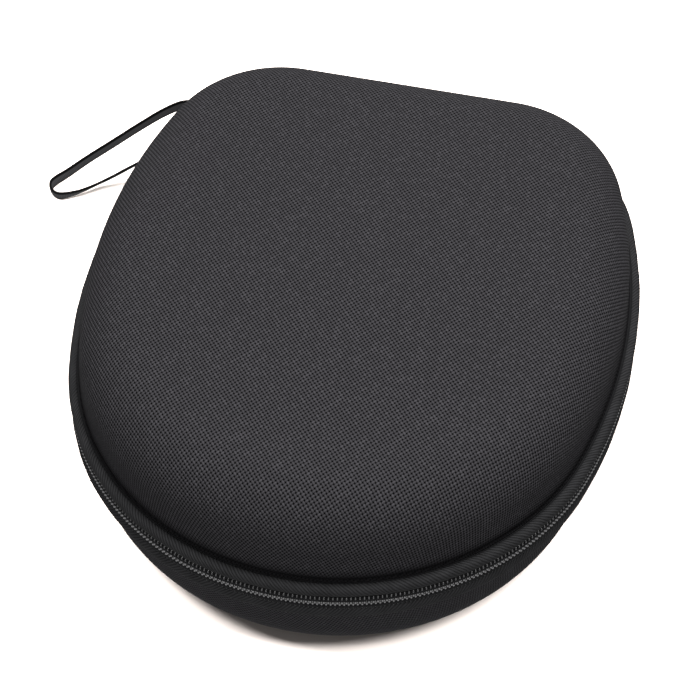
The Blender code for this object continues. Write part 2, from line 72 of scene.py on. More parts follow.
# Plan outline of the wall at the rim.
CASE_LENGTH = 208.2 * MM
FRONT_RADIUS = 90.0 * MM
SIDE_RADIUS = 187.7 * MM
CORNER_RADIUS = 47.1 * MM
HINGE_HALF_WIDTH = 39.3 * MM
BACK_WALL = CASE_LENGTH / 2

# Side view of one half.
EDGE_RADIUS = 21.5 * MM
WALL_DRAFT = math.radians(3.9)
LID_CROWN = 2.5 * MM
CROWN_START = 0.06
SHELL_EDGE = 5.0 * MM
FABRIC, CORE, LINING, GAP = 0.8 * MM, 3.5 * MM, 0.7 * MM, 0.3 * MM
SHELL_DEPTH = FABRIC + CORE + LINING + 2 * GAP

# Rim pieces. The cover swells to a low lip over the hollow that meets the top of the welt.
WELT_FOOT, WELT_HEIGHT, WELT_REACH = 3.4 * MM, 4.2 * MM, 3.9 * MM
WELT_TOP = WELT_FOOT + WELT_HEIGHT
WELT_CROWN = WELT_TOP + 0.6 * MM
LIP_FOOT, LIP_HEIGHT, LIP_PEAK = WELT_CROWN + 0.05 * MM, 5.5 * MM, 0.42
LIP_REACH, LIP_HOLLOW = 0.25 * MM, 0.45 * MM
TAPE = 0.6 * MM
TAPE_FACE = GAP + TAPE
TRIM_FACE = TAPE_FACE + GAP
TAPE_SPLIT = 0.6 * MM
COIL_PITCH = 1.40 * MM
COIL_WIRE = 0.27 * MM
COIL_HEAD = 0.38 * MM
COIL_HALF_WIDTH = 3.2 * MM
COIL_SEAMS = (1.35 * MM, 1.95 * MM)
SEAM_WAVE = ((-0.5, 3.16), (-0.25, 3.42), (0.0, 3.52), (0.25, 3.42), (0.5, 3.16))
STOP_LENGTH, STOP_REACH = 2.6 * MM, 3.7 * MM

# Lengths of the waves that hand sewing leaves in the piping.
LONG_WAVE, SHORT_WAVE = 31.0 * MM, 12.7 * MM

# Bindings, hinge, sliders and the net.
BINDING_WIDTH, BINDING_THICKNESS = 8.0 * MM, 0.6 * MM
HINGE_THICKNESS = 0.8 * MM
SLIDER_HALF, SLIDER_HALF_HEIGHT, SLIDER_PLATE, SLIDER_NOSE = 5.0 * MM, 4.3 * MM, 1.0 * MM, 0.62
SLIDER_SPACING = 5.5 * MM
NET_CELL, NET_CORD, NET_HEM = 1.9 * MM, 0.55 * MM, 4.2 * MM


# ---- outline

def arc_centres():
    """Centres of the front, right corner and right side arcs, each tangent inside to the next."""
    front = Vector((0.0, FRONT_RADIUS - CASE_LENGTH / 2))
    corner = Vector((HINGE_HALF_WIDTH, CASE_LENGTH / 2 - CORNER_RADIUS))
    to_front, to_corner = SIDE_RADIUS - FRONT_RADIUS, SIDE_RADIUS - CORNER_RADIUS
    between = corner - front
    along = (to_front**2 - to_corner**2 + between.length_squared) / (2 * between.length)
    across = math.sqrt(to_front**2 - along**2)
    direction = between.normalized()
    return front, corner, front + direction * along - Vector((direction.y, -direction.x)) * across


FRONT_CENTRE, CORNER_CENTRE, SIDE_CENTRE = arc_centres()
CORNER_END = math.atan2(*reversed(CORNER_CENTRE - SIDE_CENTRE))
SIDE_END = math.atan2(*reversed(FRONT_CENTRE - SIDE_CENTRE))


def mirrored(place):
    """The same place on the left half."""
    return Vector((-place.x, place.y))


# Arcs of the closed outline from the middle of the back, clockwise seen from above.
RUNS = (
    ("line", 0.0, HINGE_HALF_WIDTH),
    ("arc", CORNER_CENTRE, CORNER_RADIUS, math.pi / 2, CORNER_END),
    ("arc", SIDE_CENTRE, SIDE_RADIUS, CORNER_END, SIDE_END),
    ("arc", FRONT_CENTRE, FRONT_RADIUS, SIDE_END, -math.pi - SIDE_END),
    ("arc", mirrored(SIDE_CENTRE), SIDE_RADIUS, -math.pi - SIDE_END, -math.pi - CORNER_END),
    ("arc", mirrored(CORNER_CENTRE), CORNER_RADIUS, -math.pi - CORNER_END, -math.pi * 1.5),
    ("line", -HINGE_HALF_WIDTH, 0.0),
)


def run_length(run):
    """Length of one line or arc of the outline."""
    return run[2] - run[1] if run[0] == "line" else run[2] * abs(run[4] - run[3])


RIM_LENGTH = sum(run_length(run) for run in RUNS)
ZIP_START, ZIP_END = HINGE_HALF_WIDTH, RIM_LENGTH - HINGE_HALF_WIDTH


def station(distance):
    """(x, y, normal x, normal y) of the outline at a distance from the middle of the back."""
    for run in RUNS:
        length = run_length(run)
        if distance <= length or run is RUNS[-1]:
            break
        distance -= length
    if run[0] == "line":
        return (run[1] + distance, BACK_WALL, 0.0, 1.0)
    angle = run[3] - distance / run[2]
    nx, ny = math.cos(angle), math.sin(angle)
    return (run[1].x + nx * run[2], run[1].y + ny * run[2], nx, ny)


def stations(start, end, spacing, closed=False):
    """Evenly spaced stations, and their distances, as arrays."""
    count = max(2, round((end - start) / spacing))
    places = np.linspace(start, end, count + (not closed), endpoint=not closed)
    return np.array([station(place) for place in places]), places


# ---- meshes

def object_from(name, mesh):
    """Link a new object that holds this mesh, camera or light."""
    obj = bpy.data.objects.new(name, mesh)
    bpy.context.scene.collection.objects.link(obj)
    return obj


def finished(name, bm, finish, smooth=40, tidy=True):
    """Link a bmesh as an object with outward faces and one material."""
    if tidy:
        bmesh.ops.remove_doubles(bm, verts=bm.verts, dist=1e-6)
        bmesh.ops.recalc_face_normals(bm, faces=bm.faces)
    mesh = bpy.data.meshes.new(name)
    bm.to_mesh(mesh)
    bm.free()
    mesh.materials.append(FINISH[finish])
    mesh.shade_smooth()
    mesh.set_sharp_from_angle(angle=math.radians(smooth))
    return object_from(name, mesh)


def grid(bm, places, uvs=None, close_rows=False, close_columns=False):
    """Quads over a (rows, columns, 3) array. The UV array has one more row or column where closed."""
    layer = bm.loops.layers.uv.verify()
    rows, columns = places.shape[:2]
    verts = [[bm.verts.new(places[r, c]) for c in range(columns)] for r in range(rows)]
    for r in range(rows if close_rows else rows - 1):
        for c in range(columns if close_columns else columns - 1):
            corners = ((r, c), (r + 1, c), (r + 1, c + 1), (r, c + 1))
            face = bm.faces.new([verts[i % rows][j % columns] for i, j in corners])
            if uvs is not None:
                for loop, (i, j) in zip(face.loops, corners):
                    loop[layer].uv = uvs[i, j]
    return verts


def strip(name, places, uvs, finish, smooth=40, closed=False):
    """Quads round rows of one section, capped at both ends unless the rows close up."""
    bm = bmesh.new()
    verts = grid(bm, places, uvs, closed, True)
    if not closed:
        bm.faces.new(verts[0])
        bm.faces.new(verts[-1])
    return finished(name, bm, finish, smooth)


def travelled(points):
    """Distance along a line of points to each of them."""
    return np.concatenate([[0], np.cumsum(np.linalg.norm(np.diff(points, axis=0), axis=1))])


def uv_map(along, around):
    """UVs of a grid whose rows and columns lie at these distances."""
    return np.stack(np.meshgrid(along, around, indexing="ij"), axis=-1)


def on_wall(path, out, up, side):
    """Arrays of x, y and z: a row for each station, a column for each outward distance and height."""
    x = path[:, 0:1] + path[:, 2:3] * out
    y = path[:, 1:2] + path[:, 3:4] * out
    return x, y, np.broadcast_to(RIM + side * up, x.shape)


def evaluated_mesh(obj):
    """An object's mesh as its modifiers leave it."""
    graph = bpy.context.evaluated_depsgraph_get()
    return bpy.data.meshes.new_from_object(obj.evaluated_get(graph))


def apply_modifiers(obj):
    made = evaluated_mesh(obj)
    obj.modifiers.clear()
    obj.data = made


def bevelled(obj, width, segments=2):
    """Round an object's edges, for good."""
    modifier = obj.modifiers.new("edges", "BEVEL")
    modifier.width = width
    modifier.segments = segments
    modifier.limit_method = "ANGLE"
    modifier.angle_limit = math.radians(35)
    apply_modifiers(obj)
    obj.data.shade_smooth()
    obj.data.set_sharp_from_angle(angle=math.radians(50))
    return obj


def swept(name, section, side, finish, start=0.0, end=RIM_LENGTH, spacing=2.0 * MM, smooth=40, wobble=0.0):
    """Sweep a closed section of (outward, height) points along the rim.

    UVs run along the rim, and round the section from its first point, both in metres."""
    closed = end - start >= RIM_LENGTH - 1e-9
    path, distances = stations(start, end, spacing, closed)
    section = np.array(section)
    around = travelled(np.vstack([section, section[:1]]))
    out, up = section[:, 0][None, :], section[:, 1][None, :]
    if wobble:
        phase = distances[:, None] * 2 * math.pi
        waves = np.sin(phase / LONG_WAVE) + 0.6 * np.sin(phase / SHORT_WAVE + 1.7)
        out = out + wobble * waves * (out > TRIM_FACE * 1.1)
    places = np.stack(on_wall(path, out, up, side), axis=-1)
    if closed:
        distances = np.append(distances, RIM_LENGTH)
    return strip(name, places, uv_map(distances, around), finish, smooth, closed)


def curved(points, steps=4):
    """A closed section with its corners rounded by quadratic cuts."""
    points = [Vector(point) for point in points]
    made = []
    for index, corner in enumerate(points):
        before = (points[index - 1] + corner) / 2
        after = (corner + points[(index + 1) % len(points)]) / 2
        for step in range(steps):
            t = step / steps
            made.append(before * (1 - t)**2 + corner * 2 * t * (1 - t) + after * t**2)
    return [tuple(point) for point in made]


def box_section(low, high, foot, top):
    return [(low, foot), (high, foot), (high, top), (low, top)]


# ---- shader maths

class Field:
    """A number that varies over a surface. Arithmetic on it adds Math nodes."""

    def __init__(self, shader, socket):
        self.shader = shader
        self.socket = socket

    def maths(self, operation, *others):
        values = dict(enumerate((self, *others)))
        return self.shader.node("ShaderNodeMath", {"operation": operation}, values)

    def __rsub__(self, other):
        return self.shader.node("ShaderNodeMath", {"operation": "SUBTRACT"}, {0: other, 1: self})

    __add__ = __radd__ = partialmethod(maths, "ADD")
    __mul__ = __rmul__ = partialmethod(maths, "MULTIPLY")
    __sub__ = partialmethod(maths, "SUBTRACT")
    __truediv__ = partialmethod(maths, "DIVIDE")
    cos = partialmethod(maths, "COSINE")
    floor = partialmethod(maths, "FLOOR")
    fraction = partialmethod(maths, "FRACT")
    size = partialmethod(maths, "ABSOLUTE")
    max = partialmethod(maths, "MAXIMUM")
    power = partialmethod(maths, "POWER")

    def ramp(self, low, high):
        """0 below low, 1 above high, smooth between."""
        settings = {"interpolation_type": "SMOOTHSTEP"}
        return self.shader.node("ShaderNodeMapRange", settings, {0: self, 1: low, 2: high})


class Shader:
    """A Principled material and the nodes that feed it."""

    def __init__(self, name, colour, roughness, **sockets):
        self.material = bpy.data.materials.new(name)
        self.material.use_nodes = True
        self.tree = self.material.node_tree
        self.principled = self.tree.nodes["Principled BSDF"]
        self.set("Base Color", (*colour, 1.0))
        self.set("Roughness", roughness)
        for label, value in sockets.items():
            self.set(label.replace("_", " ").title().replace("Ior", "IOR"), value)

    def set(self, label, value):
        socket = self.principled.inputs[label]
        if isinstance(value, Field):
            self.tree.links.new(value.socket, socket)
        else:
            socket.default_value = value

    def node(self, kind, settings, inputs, output=0):
        made = self.tree.nodes.new(kind)
        for label, value in settings.items():
            setattr(made, label, value)
        for label, value in inputs.items():
            if isinstance(value, Field):
                self.tree.links.new(value.socket, made.inputs[label])
            else:
                made.inputs[label].default_value = value
        return Field(self, made.outputs[output])

    def uv(self):
        """The U and V of the piece's own map, in metres."""
        place = self.node("ShaderNodeTexCoord", {}, {}, "UV")
        return self.axis(place, "X"), self.axis(place, "Y")

    def place(self):
        return self.node("ShaderNodeTexCoord", {}, {}, "Object")

    def axis(self, vector, name):
        return self.node("ShaderNodeSeparateXYZ", {}, {0: vector}, name)

    def joined(self, x, y, z=0.0):
        return self.node("ShaderNodeCombineXYZ", {}, {0: x, 1: y, 2: z})

    def noise(self, vector, scale, detail=2.0, rough=0.5):
        inputs = {"Vector": vector, "Scale": scale, "Detail": detail, "Roughness": rough}
        return self.node("ShaderNodeTexNoise", {}, inputs)

    def speckle(self, vector):
        return self.node("ShaderNodeTexWhiteNoise", {"noise_dimensions": "3D"}, {0: vector})

    def tint(self, share, first, second):
        """Blend the base colour from one colour to another."""
        inputs = {0: share, 6: (*first, 1.0), 7: (*second, 1.0)}
        self.set("Base Color", self.node("ShaderNodeMix", {"data_type": "RGBA"}, inputs, 2))

    def bump(self, height, distance):
        inputs = {"Height": height, "Distance": distance}
        self.set("Normal", self.node("ShaderNodeBump", {}, inputs, "Normal"))


def shade(colour, share):
    """A colour made darker or lighter."""
    return tuple(channel * share for channel in colour)


def weave_height(u, v):
    """Height of a plain weave whose yarns are one unit apart in u and v, about 0 to 1.5."""
    wave = 0.45
    across_warp = ((u.fraction() - 0.5) * math.pi).cos()
    across_weft = ((v.fraction() - 0.5) * math.pi).cos()
    warp_turn = (u.floor() * math.pi).cos() * ((v - 0.5) * math.pi).cos()
    weft_turn = (v.floor() * math.pi).cos() * ((u - 0.5) * math.pi).cos()
    return (across_warp + warp_turn * wave).max(across_weft - weft_turn * wave)


def woven_nylon():
    """Heavy plain weave cut on the bias, flatter where it is pressed near the rim, with painted shade
    darkening it there.
    """
    pitch, irregular = 1.17 * MM, 0.30 * MM
    warp_angle, weft_angle = math.radians(41.5), math.radians(-42.6)
    shader = Shader("woven_nylon", (0.018, 0.018, 0.019), 0.6, specular_ior_level=0.03)
    u, v = shader.uv()
    place = shader.place()
    drift = shader.noise(shader.joined(u, v), 90.0, 2.0) - 0.5
    sway = shader.noise(shader.joined(v, u, 3.0), 90.0, 2.0) - 0.5
    warp = (u * math.cos(warp_angle) + v * math.sin(warp_angle) + drift * irregular) / pitch
    weft = (u * math.cos(weft_angle) + v * math.sin(weft_angle) + sway * irregular) / pitch
    height = weave_height(warp, weft)
    from_rim = (shader.axis(place, "Z") - RIM).size()
    open_weave = from_rim.ramp(9.0 * MM, 14.0 * MM) * 0.6 + 0.4
    yarn = shader.speckle(shader.joined(warp.floor(), weft.floor()))
    spark = yarn.power(3.0)
    tone = height.ramp(0.4, 1.25) * (spark * 0.25 + 0.75)
    # painted shade: below 14 mm from the rim the cloth is darkened, to about a third at 8.3 mm, for the
    # hollow over the welt
    tone = (tone * open_weave + (1 - open_weave) * 0.25) * (from_rim.ramp(8.3 * MM, 14.0 * MM) * 0.65 + 0.35)
    shader.tint(tone, (0.0005, 0.0005, 0.0006), (0.056, 0.054, 0.059))
    shader.set("Roughness", 0.68 - open_weave * 0.16 + yarn * 0.06)
    fuzz = shader.noise(place, 5200.0, 2.0)
    shader.bump((height + yarn * 0.15) * open_weave + fuzz * 0.08, 0.34 * MM)
    return shader.material


def twill(name, light, dark):
    """Diagonal twill ribs over a band."""
    pitch, depth = 1.35 * MM, 0.20 * MM
    shader = Shader(name, light, 0.65, specular_ior_level=0.08)
    u, v = shader.uv()
    drift = shader.noise(shader.joined(u, v), 160.0, 3.0) - 0.5
    ribs = (u + v * -1.0) / pitch + drift * 1.3
    ridge = ((ribs.fraction() - 0.5) * math.pi).cos()
    cross = (((u - v) / pitch * 1.5).fraction() - 0.5).size()
    wear = shader.noise(shader.place(), 160.0, 3.0)
    shader.tint(ridge * 0.6 + wear * 0.5 - cross * 0.2, dark, light)
    shader.bump(ridge + cross * 0.35 + wear * 0.2, depth)
    return shader.material


def tape_cloth(name, colour, pitch=0.45 * MM, depth=0.10 * MM):
    """Fine plain weave of a narrow tape."""
    shader = Shader(name, colour, 0.75, specular_ior_level=0.2)
    u, v = shader.uv()
    height = weave_height(u / pitch, v / (pitch * 1.6))
    tone = height.ramp(0.1, 1.2)
    shader.tint(tone, shade(colour, 0.45), shade(colour, 1.25))
    shader.bump(height, depth)
    return shader.material


def ribbed(name, colour, pitch, depth, rough=0.75):
    """Cross ribs along a band, as on grosgrain or elastic."""
    shader = Shader(name, colour, rough, specular_ior_level=0.2)
    u, v = shader.uv()
    rib = ((u / pitch).fraction() - 0.5).size() * 2
    thread = ((v / (pitch * 0.8)).fraction() - 0.5).size()
    shader.tint(1 - rib * 0.8, shade(colour, 0.4), shade(colour, 1.2))
    shader.bump((1 - rib * rib) + thread * 0.4, depth)
    return shader.material


def tricot():
    """Brushed lining: soft pile over fine wales."""
    shader = Shader("tricot_lining", (0.014, 0.014, 0.015), 0.92, sheen_weight=0.12, sheen_roughness=0.4,
                    specular_ior_level=0.1)
    u = shader.uv()[0]
    place = shader.place()
    wale = ((u / (0.9 * MM)).fraction() - 0.5).size()
    pile = shader.noise(place, 1500.0, 4.0, 0.7)
    patches = shader.noise(place, 45.0, 2.0)
    tone = pile * 0.55 + patches * 0.45
    shader.tint(tone, (0.004, 0.004, 0.004), (0.030, 0.029, 0.031))
    shader.bump(pile + wale * 0.25, 0.22 * MM)
    return shader.material


def foam():
    """Cut EVA foam: a matt face with closed pores."""
    shader = Shader("eva_foam", (0.014, 0.014, 0.015), 0.88, specular_ior_level=0.2)
    place = shader.place()
    pores = shader.node("ShaderNodeTexVoronoi", {}, {"Vector": place, "Scale": 1700.0}, "Distance")
    mottle = shader.noise(place, 300.0, 2.0)
    shader.tint(pores.ramp(0.05, 0.6) * 0.7 + mottle * 0.3, (0.004, 0.004, 0.004), (0.024, 0.024, 0.025))
    shader.bump(pores.ramp(0.0, 0.5), 0.15 * MM)
    return shader.material


def coil_nylon(label, side, low, high, bend):
    """Black monofilament with painted highlights: pale on the face of each turn between two heights, and on
    its outer bend.
    """
    shader = Shader(f"{label}_nylon_coil", (0.012, 0.012, 0.012), 0.3, specular_ior_level=1.0,
                    coat_weight=0.6, coat_roughness=0.3)
    haze = shader.noise(shader.place(), 900.0, 2.0)
    shader.set("Roughness", haze * 0.14 + 0.26)
    from_parting = (shader.axis(shader.place(), "Z") - RIM) * side
    above_low = from_parting.ramp(low - 0.12 * MM, low + 0.12 * MM)
    above_high = from_parting.ramp(high - 0.15 * MM, high + 0.15 * MM)
    # painted highlights: each turn is coloured pale between the two heights and on its outer bend, where its
    # glints fall
    painted_head_highlights = above_low - above_high
    painted_bend_highlights = from_parting.ramp(1.7 * MM, 2.0 * MM) - from_parting.ramp(2.4 * MM, 2.8 * MM)
    tone = (painted_head_highlights + painted_bend_highlights * bend) * (haze * 0.5 + 0.6)
    shader.tint(tone, (0.003, 0.003, 0.003), (0.300, 0.298, 0.308))
    shader.bump(haze, 0.02 * MM)
    return shader.material


def black_metal():
    """Zinc alloy under thin black paint, rubbed through in scattered patches."""
    shader = Shader("black_metal", (0.008, 0.008, 0.009), 0.34, coat_weight=0.3)
    place = shader.place()
    grain = shader.noise(place, 1400.0, 3.0)
    rubbed = shader.noise(place, 420.0, 4.0, 0.65).ramp(0.62, 0.74)
    shader.tint(rubbed * 0.5, (0.007, 0.007, 0.008), (0.050, 0.050, 0.053))
    shader.set("Roughness", grain * 0.15 + 0.27)
    shader.bump(grain, 0.02 * MM)
    return shader.material


def soft_rubber():
    """Moulded soft grip with a fine matt grain."""
    shader = Shader("grip_rubber", (0.010, 0.010, 0.011), 0.6, specular_ior_level=0.3)
    grain = shader.noise(shader.place(), 3200.0, 2.0)
    shader.tint(grain, (0.007, 0.007, 0.007), (0.015, 0.015, 0.016))
    shader.set("Roughness", grain * 0.2 + 0.5)
    shader.bump(grain, 0.03 * MM)
    return shader.material


def thread(name, colour):
    """Twisted sewing thread."""
    shader = Shader(name, colour, 0.7, specular_ior_level=0.2)
    fibre = shader.noise(shader.place(), 2600.0, 2.0)
    shader.tint(fibre, shade(colour, 0.5), shade(colour, 1.5))
    shader.bump(fibre, 0.04 * MM)
    return shader.material


def ribbon_cloth(width):
    """Woven strap: a grey ribbed middle between two black selvedges. V runs across it from 0."""
    shader = Shader("strap_ribbon", (0.030, 0.029, 0.031), 0.66, specular_ior_level=0.1)
    u, v = shader.uv()
    across = (v / width - 0.5).size() * 2
    middle = 1 - across.ramp(0.5, 0.72)
    height = weave_height(u / (0.62 * MM), v / (0.70 * MM))
    tone = height.ramp(0.2, 1.3) * 0.75 + 0.25
    shader.tint(tone * middle, (0.003, 0.003, 0.003), (0.130, 0.128, 0.134))
    shader.bump(height, 0.14 * MM)
    return shader.material


def paper_floor():
    """Warm paper round the case, painted paler further away to make up for the sweep light falling off
    there.
    """
    near, far = (0.50, 0.455, 0.43), (0.97, 0.96, 0.95)
    shader = Shader("studio_floor", near, 0.9, specular_ior_level=0.0)
    away = shader.node("ShaderNodeVectorMath", {"operation": "LENGTH"}, {0: shader.place()}, "Value")
    # painted light: the floor is coloured paler further from the case, making up for the sweep light falling
    # off there
    shader.tint(away.ramp(0.25, 0.9), near, far)
    return shader.material


STRAP_WIDTH, STRAP_THICKNESS = 4.8 * MM, 1.2 * MM

FINISH = {
    "nylon": woven_nylon(),
    "welt": twill("twill_welt", (0.036, 0.036, 0.038), (0.006, 0.006, 0.006)),
    "tape": tape_cloth("zip_tape", (0.008, 0.008, 0.009)),
    "hinge": tape_cloth("hinge_fabric", (0.014, 0.014, 0.015), 0.8 * MM, 0.16 * MM),
    "binding": ribbed("binding_tape", (0.014, 0.014, 0.015), 0.9 * MM, 0.14 * MM),
    "elastic": ribbed("pocket_elastic", (0.014, 0.014, 0.015), 1.2 * MM, 0.22 * MM, 0.7),
    "lining": tricot(),
    "foam": foam(),
    # The coil finishes paint highlights between the two heights given, and on the outer bend by the share
    # given.
    "lid_coil": coil_nylon("lid", LID, 0.42 * MM, 1.10 * MM, 0.6),
    "base_coil": coil_nylon("base", BASE, -0.05 * MM, 0.70 * MM, 1.8),
    "metal": black_metal(),
    "rubber": soft_rubber(),
    "thread": thread("sewing_thread", (0.010, 0.010, 0.011)),
    "net": thread("pocket_net", (0.012, 0.012, 0.013)),
    "ribbon": ribbon_cloth(STRAP_WIDTH),
    "floor": paper_floor(),
}


def settled(obj, body, slot, *nodes):
    """Give a finished piece its body, and hide the nodes that it stands for. The slot is not used."""
    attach(obj, body)
    if nodes:
        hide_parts(*nodes)


# ---- camera, floor and light

def camera():
    """The view that the case is shown from: high, a little to the right of its front."""
    azimuth, elevation, distance = math.radians(12.77), math.radians(51.41), 0.797
    target = Vector((0.0, 0.0, 0.035))
    back = Vector((math.sin(azimuth) * math.cos(elevation), -math.cos(azimuth) * math.cos(elevation),
                   math.sin(elevation)))
    data = bpy.data.cameras.new("camera")
    data.sensor_width = 36.0
    data.lens = 116.2
    data.shift_x, data.shift_y = -0.00125, 0.0094
    data.clip_start, data.clip_end = 0.01, 20.0
    obj = object_from("camera", data)
    obj.location = target + back * distance
    obj.rotation_euler = (-back).to_track_quat("-Z", "Y").to_euler()
    bpy.context.scene.camera = obj


def area_light(name, place, size, power):
    """A rectangular lamp that looks at the middle of the case."""
    data = bpy.data.lights.new(name, "AREA")
    data.shape = "RECTANGLE"
    data.size, data.size_y = size
    data.energy = power
    obj = object_from(name, data)
    obj.location = place
    obj.rotation_euler = (Vector(place) - Vector((0.0, 0.0, 0.04))).to_track_quat("Z", "Y").to_euler()
    return obj


def studio():
    """Pale sweep, grey surround, soft boxes overhead and in front, and a wide one for the sweep alone.

    The sweep neither colours nor mirrors in the black case."""
    bm = bmesh.new()
    bmesh.ops.create_grid(bm, x_segments=1, y_segments=1, size=6.0)
    floor = finished("floor", bm, "floor", tidy=False)
    floor.location.z = -0.0002
    floor.visible_diffuse = False
    floor.visible_glossy = False
    world = bpy.data.worlds.new("surround")
    world.use_nodes = True
    sky = world.node_tree.nodes["Background"].inputs
    sky["Color"].default_value = (1.0, 0.995, 0.99, 1.0)
    sky["Strength"].default_value = 0.36
    bpy.context.scene.world = world
    overhead = area_light("overhead", (0.05, 0.30, 1.20), (0.7, 0.5), 20.0)
    front = area_light("front_box", (0.15, -0.95, 0.80), (0.5, 0.2), 6.0)
    sweep = area_light("sweep_light", (0.0, -0.25, 1.30), (2.2, 0.4), 200.0)
    for light, state in ((sweep, "INCLUDE"), (overhead, "EXCLUDE"), (front, "EXCLUDE")):
        lit = bpy.data.collections.new(f"{light.name}_floor")
        lit.objects.link(floor)
        lit.collection_objects[0].light_linking.link_state = state
        light.light_linking.receiver_collection = lit
    bpy.context.scene.view_settings.view_transform = "Standard"


# ---- wrist strap

STRAP_ROUTE = (
    (-0.0757, 0.0914, 0.0312), (-0.0805, 0.0932, 0.0295), (-0.0880, 0.0948, 0.0255),
    (-0.0960, 0.0948, 0.0205), (-0.1030, 0.0940, 0.0155), (-0.1095, 0.0925, 0.0110),
    (-0.1160, 0.0904, 0.0066), (-0.1220, 0.0874, 0.0038), (-0.1288, 0.0822, 0.0028),
    (-0.1350, 0.0789, 0.0028), (-0.1386, 0.0802, 0.0028), (-0.1401, 0.0832, 0.0029),
    (-0.1390, 0.0860, 0.0032), (-0.1346, 0.0902, 0.0047), (-0.1281, 0.0954, 0.0082),
    (-0.1190, 0.1006, 0.0138), (-0.1089, 0.1058, 0.0205), (-0.0990, 0.1096, 0.0272),
    (-0.0910, 0.1110, 0.0315), (-0.0835, 0.1086, 0.0336), (-0.0772, 0.1026, 0.0334),
    (-0.0738, 0.0966, 0.0323), (-0.0728, 0.0942, 0.0318),
)


def smooth_route(points, steps):
    """Points along a Catmull-Rom curve through the route."""
    padded = [points[0] * 2 - points[1], *points, points[-1] * 2 - points[-2]]
    fine = []
    for a, b, c, d in zip(padded, padded[1:], padded[2:], padded[3:]):
        for index in range(steps):
            t = index / steps
            fine.append(0.5 * (2 * b + (c - a) * t + (2 * a - 5 * b + 4 * c - d) * t**2
                               + (3 * b - a - 3 * c + d) * t**3))
    return [*fine, points[-1]]


def ribbon_tilt(share):
    """Lean of the ribbon's width from upright along the loop, in degrees, from anchor to anchor."""
    marks = ((0.0, -50.0), (0.10, -50.0), (0.24, -46.0), (0.34, -38.0), (0.44, -8.0),
             (0.50, 0.0), (0.58, 8.0), (0.75, 12.0), (0.90, 4.0), (1.0, 0.0))
    return np.interp(share, *zip(*marks))


def wrist_strap():
    """The ribbon loop, standing on its edge where it reaches the floor."""
    line = smooth_route([Vector(point) for point in STRAP_ROUTE], 8)
    lengths = np.concatenate([[0], np.cumsum([(b - a).length for a, b in zip(line, line[1:])])])
    half, thick = STRAP_WIDTH / 2, STRAP_THICKNESS / 2
    section = curved([(-half, -thick), (half, -thick), (half, thick), (-half, thick)], 3)
    section = [(max(-half, min(half, a * 1.06)), b) for a, b in section]
    rows = []
    for index, point in enumerate(line):
        ahead = (line[min(index + 1, len(line) - 1)] - line[max(index - 1, 0)]).normalized()
        outward = ahead.cross(Vector((0, 0, 1))).normalized()
        upright = outward.cross(ahead).normalized()
        lean = math.radians(float(ribbon_tilt(lengths[index] / lengths[-1])))
        wide = upright * math.cos(lean) + outward * math.sin(lean)
        flat = outward * math.cos(lean) - upright * math.sin(lean)
        rows.append([point + wide * a + flat * b for a, b in section])
    uvs = uv_map(lengths, [a + half for a, b in [*section, section[0]]])
    strap = strip("wrist_strap_ribbon", np.array(rows), uvs, "ribbon")
    settled(strap, "base", "strap_ribbon", "wrist_strap")


# ---- shells

def wall_profile(depth, crown, arc_steps=22, wall_steps=12):
    """(outward, height) points from the shell's cut edge to the start of its crown or floor."""
    arc_end = math.pi / 2 - (CROWN_START if crown else 0.0)
    arc_height = RIM - crown - EDGE_RADIUS
    arc_inset = (arc_height - SHELL_EDGE) * math.tan(WALL_DRAFT) + EDGE_RADIUS / math.cos(WALL_DRAFT)
    radius = EDGE_RADIUS - depth
    start = (-depth / math.cos(WALL_DRAFT), SHELL_EDGE)
    angles = np.linspace(WALL_DRAFT, arc_end, arc_steps)
    arc = [(radius * math.cos(a) - arc_inset, arc_height + radius * math.sin(a)) for a in angles]
    shares = np.linspace(0, 1, wall_steps, endpoint=False)
    wall = [tuple(np.array(start) * (1 - t) + np.array(arc[0]) * t) for t in shares]
    return wall + arc


def lipped(profile):
    """The wall of the outer cloth, swelling to a lip over the hollow where it meets the welt."""
    wall = [(out, up) for out, up in profile if up > LIP_FOOT + LIP_HEIGHT]
    made = [(0.8 * GAP, SHELL_EDGE), (0.8 * GAP, LIP_FOOT - 0.2 * MM)]
    for share in np.linspace(0.0, 0.94, 15):
        up = LIP_FOOT + LIP_HEIGHT * share
        base = np.interp(up, [profile[0][1], wall[0][1]], [profile[0][0], wall[0][0]])
        if share < LIP_PEAK:
            swell = (LIP_REACH + LIP_HOLLOW) * math.sin(math.pi / 2 * share / LIP_PEAK) - LIP_HOLLOW
        else:
            swell = LIP_REACH * ((1 - share) / (1 - LIP_PEAK))**2
        made.append((float(base) + swell, float(up)))
    return made + wall


def shell_face(path, profile, side, depth, rings=14):
    """Places and cloth coordinates of one face of a shell, and its middle point."""
    profile = np.array(profile)
    out, up = profile[:, 0][None, :], profile[:, 1][None, :]
    x, y, z = on_wall(path, out, up, side)
    run = travelled(profile)
    beyond = (run[-1] - run)[None, :]
    u = x[:, -1:] + path[:, 2:3] * beyond
    v = y[:, -1:] + path[:, 3:4] * beyond
    shares = np.linspace(1, 0, rings + 1)[1:-1][None, :]
    rise = RIM - depth - profile[-1][1]
    crown_x, crown_y = x[:, -1:] * shares, y[:, -1:] * shares
    crown_z = np.broadcast_to(RIM + side * (profile[-1][1] + rise * (1 - shares**2)), crown_x.shape)
    places = np.stack([np.hstack([x, crown_x]), np.hstack([y, crown_y]), np.hstack([z, crown_z])], axis=-1)
    cloth = np.stack([np.hstack([u, crown_x]), np.hstack([v, crown_y])], axis=-1)
    middle = (0.0, 0.0, RIM + side * (profile[-1][1] + rise))
    return places, np.concatenate([cloth, cloth[:1]]), middle


